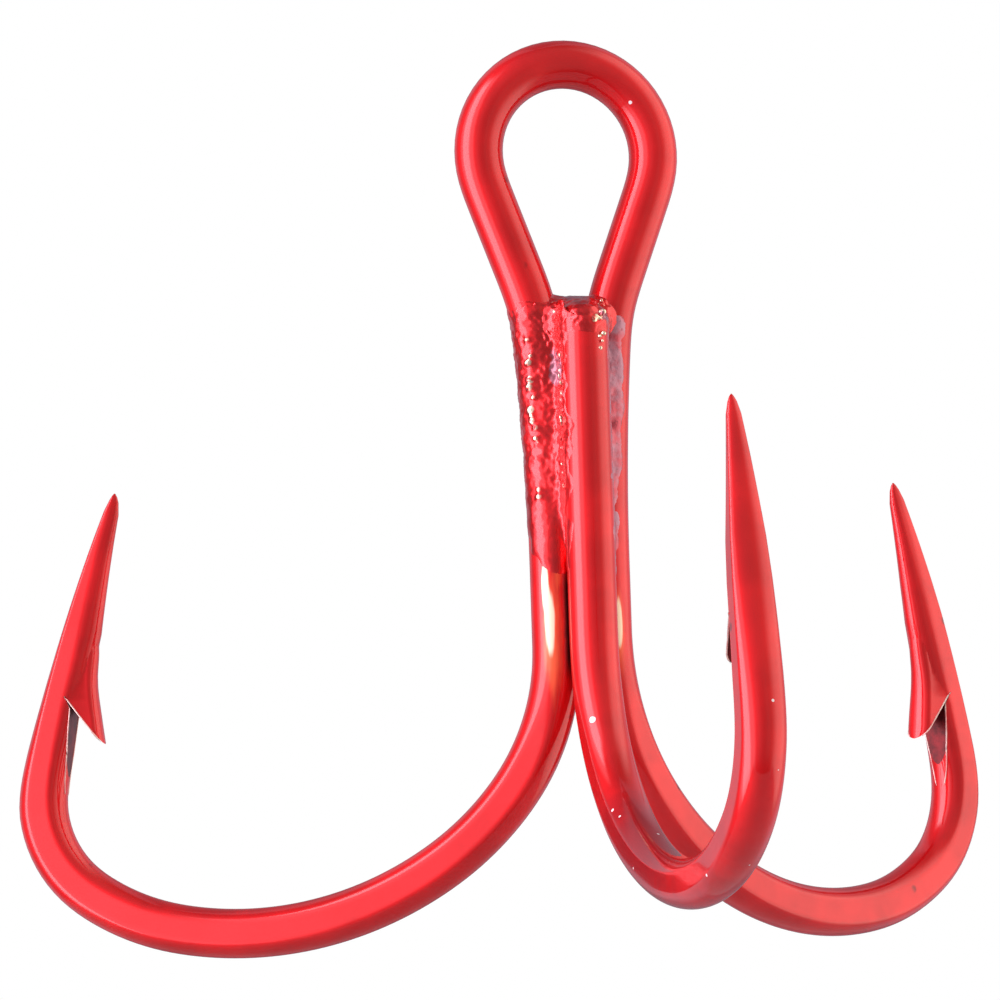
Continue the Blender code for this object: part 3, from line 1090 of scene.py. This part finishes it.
def lacquered_wire():
    """Translucent candy red over drawn bright wire."""
    made, graph, place = new_material("candy_lacquer")
    peel = graph.noise(place, 2600.0, 2.0, 0.5)
    cloud = graph.noise(place, 700.0, 5.0, 0.65, 0.6)
    colour = candy_red(graph, place)
    pits = graph.make("ShaderNodeTexVoronoi", {}, {"Vector": place, "Scale": 420.0}, "Distance")
    some = graph.noise(place, 330.0, 1.0)
    stain = pits.step(0.11, 0.05) * some.step(0.54, 0.60)
    colour = graph.mix(stain, colour, (0.30, 0.004, 0.008, 1))
    drawn = graph.vector("MULTIPLY", {0: place, 1: (1, 1, 0.12)})
    stray = (graph.noise(drawn, 2600.0, 3.0) - 0.5) * 1.1
    # painted orange highlights below the braze
    for centre, reach in WARM_HIGHLIGHTS:
        warm_highlight = spot(graph, place, centre, reach, stray, 0.2) * 0.8
        colour = graph.mix(warm_highlight, colour, (1.0, 0.17, 0.06, 1))
    # painted shade: a darker red over the single hook's bend
    bend_shade = spot(graph, place, *BEND_SHADE, (cloud - 0.5) * 0.5, 0.45)
    colour = graph.mix(bend_shade * 0.8, colour, (0.36, 0.008, 0.016, 1))
    # pale thin film that is partly a painted highlight
    thin = spots(graph, place, THIN_FILM_HIGHLIGHTS, stray, 0.62)
    colour = graph.mix(thin, colour, (1.0, 0.80, 0.56, 1))
    # bare chips, and a painted glint on the eye
    chips_and_glint = spots(graph, place, CHIPS_AND_EYE_GLINT, (peel - 0.5) * 0.8)
    colour = graph.mix(chips_and_glint, colour, (0.92, 0.86, 0.84, 1))
    # painted shade: near black in the narrow gaps between the shank wires
    colour = graph.mix(valley_painted_shade(graph, place), colour, (0.10, 0.012, 0.010, 1))
    rough = 0.62 + 0.08 * cloud.step(0.45, 0.75) - 0.08 * thin
    metal = (1.0 - 0.9 * chips_and_glint) * (1.0 - 0.5 * thin)
    bump = bumps(graph, peel + cloud * 0.5 - stain, 0.14, 0.03)
    coated(graph, colour, rough, metal, bump, 1.0, 0.05)
    return made


BLOTS = (
    ((-1.30, -1.60, -10.0), (0.32, 0.50, 1.3)),
    ((0.0, -0.9, -6.55), (1.3, 0.9, 0.35)),
    ((0.75, -2.2, -7.6), (0.5, 0.6, 0.5)),
)


def rough_braze():
    """Lacquer over lumpy braze: pale painted glints on the bead tops, where the film is also thin,
    with a few dull mauve blots.
    """
    made, graph, place = new_material("lacquer_over_braze")
    bead = graph.make("ShaderNodeAttribute", {"attribute_name": "bead"}, {}, "Fac")
    fine = graph.noise(place, 2600.0, 5.0, 0.65)
    glint_flecks = graph.noise(place, 3400.0, 2.0, 0.5)
    cloud = graph.noise(place, 900.0, 4.0, 0.6)
    colour = candy_red(graph, place)
    colour = graph.mix(fine.step(0.55, 0.75) * 0.35, colour, (0.36, 0.008, 0.02, 1))
    blot = spots(graph, place, BLOTS, (cloud - 0.5) * 2.2) * 0.75
    colour = graph.mix(blot, colour, (0.24, 0.12, 0.17, 1))
    # painted glint: pale bead tops, partly thin lacquer
    pale = bead.step(0.24, 0.55) * glint_flecks.step(0.40, 0.52)
    colour = graph.mix(pale, colour, (1.0, 0.80, 0.58, 1))
    rough = 0.36 + 0.15 * cloud.step(0.4, 0.7) - 0.12 * pale
    bump = bumps(graph, fine, 0.4, 0.04)
    coated(graph, colour, rough, 1.0 - 0.3 * blot, bump, 1.0, 0.06)
    return made


def grey_strip():
    """The dull greyish pink strip of braze in a valley, with dark pits."""
    made, graph, place = new_material("dull_braze_strip")
    patches = graph.noise(place, 900.0, 4.0, 0.6)
    fine = graph.noise(place, 3000.0, 4.0, 0.6)
    colour = graph.mix(patches.step(0.38, 0.62), (0.56, 0.06, 0.09, 1), (0.50, 0.22, 0.29, 1))
    colour = graph.mix(fine.step(0.60, 0.72) * 0.6, colour, (0.20, 0.008, 0.02, 1))
    rough = 0.38 + 0.2 * patches.step(0.3, 0.7)
    coated(graph, colour, rough, 0.7, bumps(graph, fine, 0.6, 0.05), 0.7, 0.12)
    return made


def cut_in_painted_shade():
    """The knife's cut, painted dark red as the shade inside the notch."""
    made, graph, place = new_material("cut_face_painted_shade")
    grains = graph.noise(place, 1800.0, 4.0, 0.6)
    # painted shade: near black red for the inside of the notch
    colour = graph.mix(grains.step(0.35, 0.7), (0.10, 0.004, 0.006, 1), (0.24, 0.010, 0.014, 1))
    coated(graph, colour, 0.45, 0.8, bumps(graph, grains, 0.4, 0.04), 0.3, 0.2)
    return made


def bright_edge():
    """Sharp edges where the film is thin and the metal shows pale."""
    made, graph, place = new_material("thin_film_edge")
    grains = graph.noise(place, 1200.0, 3.0, 0.6)
    colour = graph.mix(grains.step(0.35, 0.65), (0.85, 0.30, 0.28, 1), (0.95, 0.72, 0.64, 1))
    coated(graph, colour, 0.30, 0.7, None, 0.5, 0.1)
    return made


# ---------------- studio

# The camera looks from one side and from below, slightly rolled
VIEW_SIDE = math.radians(15.7)
VIEW_RISE = math.radians(-6.3)
VIEW_ROLL = math.radians(1.84)
VIEW_FAR = 345.1 * MM
VIEW_SPAN = 45.45 * MM  # width of the picture at the hook
AIM_RIGHT = -3.00 * MM
AIM_UP = -15.72 * MM
FLOOR_HALF = 160.0 * MM
FLOOR_LEVEL = -150.0 * MM

# The tent's panels: brightness, left and right end in degrees round from the opening, lower and
# upper end in degrees above the horizon, and softness of the ends
TENT_GLOW = 0.20
PANELS = (
    (0.27, -60, 66, -30, 78, 18),
    (1.3, -94, -26, -44, 58, 7),
    (4.0, -80, -47, -54, 56, 6),
    (1.7, 62, 120, -48, 60, 17),
)
OPENING = (0, 26, -30, 24, 8)


def view_axes():
    """Right, up and back of the level camera, before its roll."""
    c, s = math.cos(VIEW_SIDE), math.sin(VIEW_SIDE)
    cr, sr = math.cos(VIEW_RISE), math.sin(VIEW_RISE)
    return Vector((c, -s, 0)), Vector((s * sr, c * sr, cr)), Vector((-s * cr, -c * cr, sr))


def make_camera():
    right, up, back = view_axes()
    cr, sr = math.cos(VIEW_ROLL), math.sin(VIEW_ROLL)
    right, up = right * cr - up * sr, right * sr + up * cr
    data = bpy.data.cameras.new("camera")
    data.sensor_width = 36.0
    data.lens = 36.0 * VIEW_FAR / VIEW_SPAN
    data.clip_start, data.clip_end = 0.01, 20.0
    camera = new_object("camera", data)
    place = back * VIEW_FAR + right * AIM_RIGHT + up * AIM_UP
    turn = camera.matrix_world.to_3x3()
    for i in range(3):
        turn[i][0], turn[i][1], turn[i][2] = right[i], up[i], back[i]
    camera.matrix_world = turn.to_4x4()
    camera.location = place
    bpy.context.scene.camera = camera


def make_floor():
    mesh = bmesh.new()
    bmesh.ops.create_grid(mesh, x_segments=2, y_segments=2, size=FLOOR_HALF)
    floor = loose_object("floor", mesh)
    floor.location = (0, 0, FLOOR_LEVEL)
    made, graph, place = new_material("pale_floor")
    colour = graph.mix(graph.noise(place, 6.0), (0.44, 0.44, 0.45, 1), (0.50, 0.50, 0.50, 1))
    close_material(graph, {"Base Color": colour, "Roughness": 0.8})
    floor.data.materials.append(made)


def make_light_tent():
    """A white tent with a lamp panel either side and a dark gap where it opens."""
    world = bpy.data.worlds.new("light_tent")
    bpy.context.scene.world = world
    world.use_nodes = True
    world.node_tree.nodes.clear()
    graph = Graph(world.node_tree)
    right, _, back = view_axes()
    level_back = Vector((back.x, back.y, 0)).normalized()
    way = graph.make("ShaderNodeTexCoord", {}, {}, "Generated")
    rise = way.dot((0.0, 0.0, 1.0)).of("ARCSINE") * (180 / math.pi)
    side = way.dot(tuple(right)).of("ARCTAN2", way.dot(tuple(level_back))) * (180 / math.pi)

    def panel(left, to, low, high, soft):
        """1 inside a patch of the tent, by degrees round from the opening and above the horizon."""
        across = side.step(left - soft, left + soft) * side.step(to + soft, to - soft)
        return across * rise.step(low - soft, low + soft) * rise.step(high + soft, high - soft)

    tone = TENT_GLOW
    for bright, *ends in PANELS:
        tone = tone + bright * panel(*ends)
    tone = tone * (1.0 - 0.3 * panel(*OPENING)) * (1.0 - 0.65 * rise.step(-24, -42))
    round_back = side.of("ABSOLUTE")
    behind = round_back.step(120.0, 138.0)
    tone = tone * (1.0 - behind) + behind * (0.62 - 0.35 * round_back.step(152, 166))
    colour = graph.mix(side.step(-30.0, 60.0), (1.0, 0.90, 1.02, 1), (1.0, 0.93, 0.86, 1))
    colour = graph.mix(behind, colour, (0.95, 0.78, 0.92, 1))
    tent = graph.make("ShaderNodeBackground", {}, {"Color": colour, "Strength": tone})
    white = graph.make("ShaderNodeBackground", {}, {"Color": (1, 1, 1, 1), "Strength": 1.0})
    seen = graph.make("ShaderNodeLightPath", {}, {}, "Is Camera Ray")
    both = graph.make("ShaderNodeMixShader", {}, {0: seen, 1: tent, 2: white})
    out = graph.tree.nodes.new("ShaderNodeOutputWorld")
    graph.put(out.inputs["Surface"], both)


# ---------------- making


def make_wires(lacquer, cut, edge):
    tree = wire_tree()
    inputs = {"Sides": WIRE_SIDES, "Rim": RIM, "Finish": lacquer}
    double = run_tree("double_hook_wire", double_spine().mesh("double_spine"), tree, inputs)
    single = run_tree("single_hook_wire", single_spine().mesh("single_spine"), tree, inputs)
    for wire, name, setting in (
        (double, "left", LEFT), (double, "right", RIGHT), (single, "single", SINGLE),
    ):
        make_barb(wire, name, setting, lacquer, cut)
    bright_notch_edges(double, (LEFT, RIGHT), edge)
    bright_notch_edges(single, (SINGLE,), edge)
    return double, single


def main():
    make_camera()
    bpy.context.scene.view_settings.view_transform = "Standard"
    make_floor()
    make_light_tent()
    lacquer, cut, edge = lacquered_wire(), cut_in_painted_shade(), bright_edge()
    rough, strip = rough_braze(), grey_strip()
    double, single = make_wires(lacquer, cut, edge)
    left, right, rear, saddle = make_braze(rough, strip)
    for piece, node, slot in (
        (double, "double_hook", "lacquered_wire"),
        (single, "single_hook", "lacquered_wire"),
        (left, "braze_left", "lacquered_braze"),
        (right, "braze_right", "lacquered_braze"),
        (rear, "braze_rear", "lacquered_braze"),
        (saddle, "braze_saddle", "lacquered_braze"),
    ):
        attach(piece, "root")
        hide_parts(node)


main()
